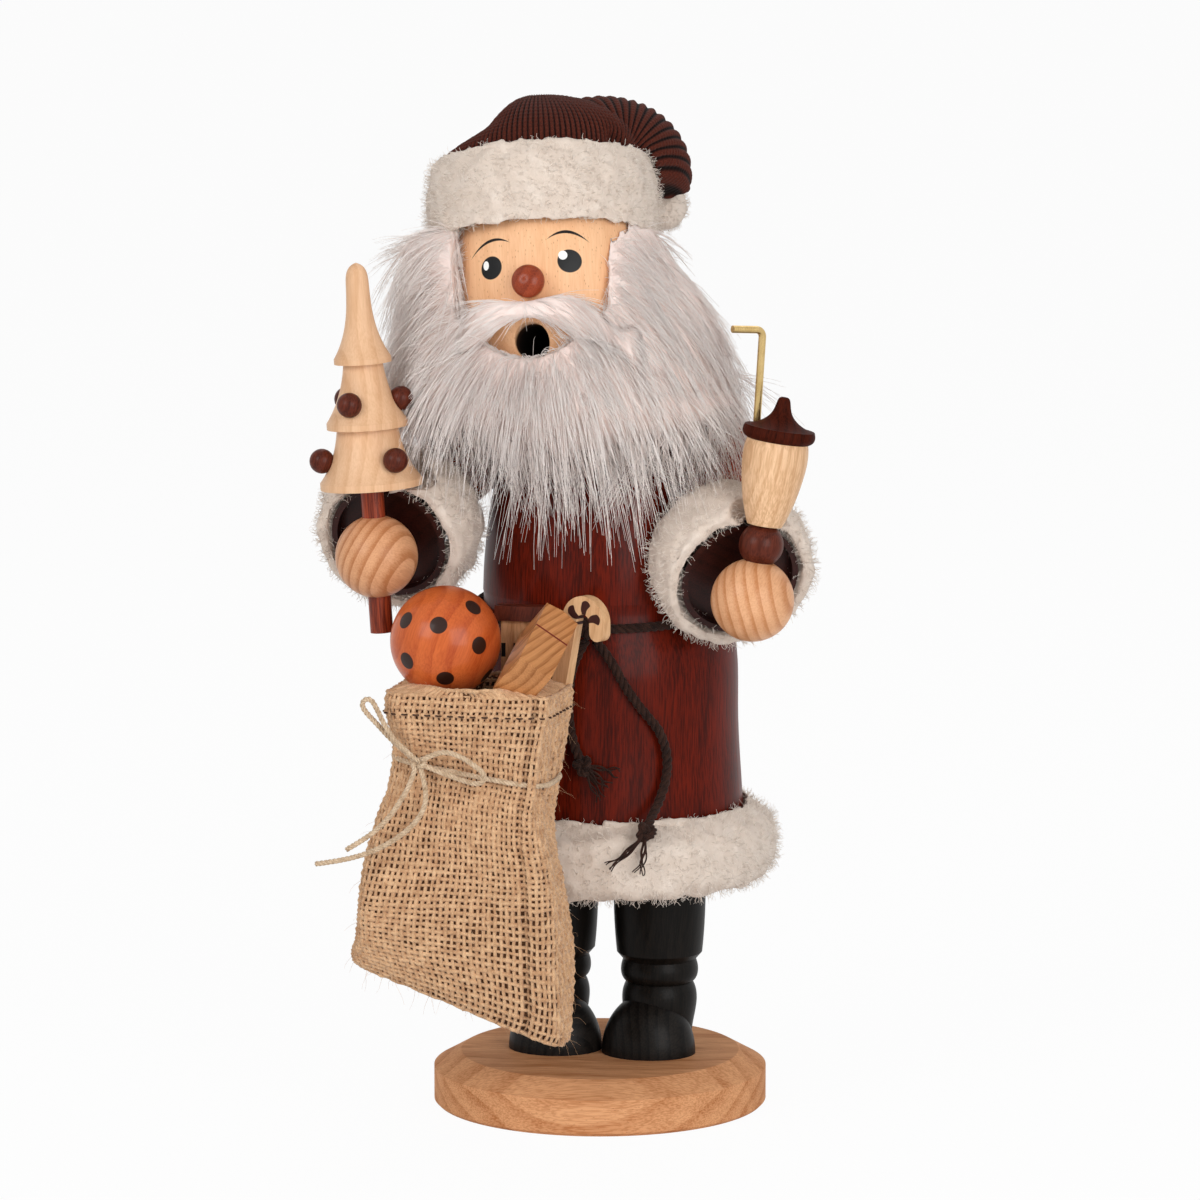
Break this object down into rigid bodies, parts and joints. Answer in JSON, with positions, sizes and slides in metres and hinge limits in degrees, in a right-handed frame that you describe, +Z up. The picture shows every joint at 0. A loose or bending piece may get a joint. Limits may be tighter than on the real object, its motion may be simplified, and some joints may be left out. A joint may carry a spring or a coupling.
{
  "type": "incense smoker figure",
  "caption": "Turned wooden incense smoker: a bearded gift-bringer with fur-trimmed coat, sack of toys, tree and lantern; the upper body lifts off to set the incense cone.",
  "frame": {"origin": "centre of the base disc's underside", "axes": "+Z up along the base disc's axis; the figure faces -Y, with its left hand towards +X"},
  "size_m": [0.166, 0.1545, 0.3325],
  "materials": {
    "beech": "satin",
    "boot_stain": "satin",
    "dowel_wood": "matt",
    "coat_stain": "gloss",
    "arm_stain": "gloss",
    "sleeve_stain": "satin",
    "maple": "satin",
    "nose_stain": "gloss",
    "brown_stain": "gloss",
    "ball_stain": "gloss",
    "block_wood": "satin",
    "brass": "polished",
    "plate_metal": "plain",
    "plush": "curly pile",
    "beard_fibre": "long straight fibre",
    "knit": "ribbed knit",
    "burlap": "open weave",
    "wadding": "matt",
    "jute": "twisted string",
    "dark_cord": "twisted cord"
  },
  "bodies": {
    "base": {"base_disc": "beech", "belt_cord": "dark_cord", "belt_knot": "dark_cord", "belt_tail_long": "dark_cord", "belt_tail_short": "dark_cord", "boot_dowels": "dowel_wood", "boot_left": "boot_stain", "boot_right": "boot_stain", "bow_knot": "jute", "bow_loop_left": "jute", "bow_loop_right": "jute", "bow_tail_long": "jute", "bow_tail_short": "jute", "candy_cane": "maple", "coat_skirt": "coat_stain", "hem_fur": "plush", "leg_dowels": "dowel_wood", "sack": "burlap", "sack_filling": "wadding", "sack_tie": "jute", "tail_ends_long": "dark_cord", "tail_ends_short": "dark_cord", "tail_knot_long": "dark_cord", "tail_knot_short": "dark_cord", "toe_left": "boot_stain", "toe_right": "boot_stain", "toy_ball": "ball_stain", "toy_block": "block_wood", "toy_house": "beech", "toy_house_roof": "brown_stain"},
    "plate": {"cone_plate": "plate_metal"},
    "top": {"torso": "coat_stain", "neck_tube": "dowel_wood", "head": "beech", "nose_peg": "nose_stain", "beard": "beard_fibre", "moustache": "beard_fibre", "hair": "beard_fibre", "hat_band": "plush", "hat_crown": "knit", "pompom": "plush", "arm_left": "arm_stain", "arm_right": "arm_stain", "shoulder_dowels": "dowel_wood", "sleeve_left": "sleeve_stain", "sleeve_right": "sleeve_stain", "cuff_left": "plush", "cuff_right": "plush", "hand_left": "beech", "hand_right": "beech", "wrist_dowels": "dowel_wood", "tree_trunk": "nose_stain", "tree": "maple", "tree_beads": "brown_stain", "lantern_bead": "brown_stain", "lantern_body": "maple", "lantern_cap": "brown_stain", "lantern_rod": "brass"}
  },
  "joints": [
    {"name": "torso_lift", "type": "slide", "parent": "base", "child": "top", "axis": [0, 0, 1], "range_m": [0, 0.08]},
    {"name": "plate_lift", "type": "slide", "parent": "base", "child": "plate", "axis": [0, 0, 1], "range_m": [0, 0.015]}
  ]
}
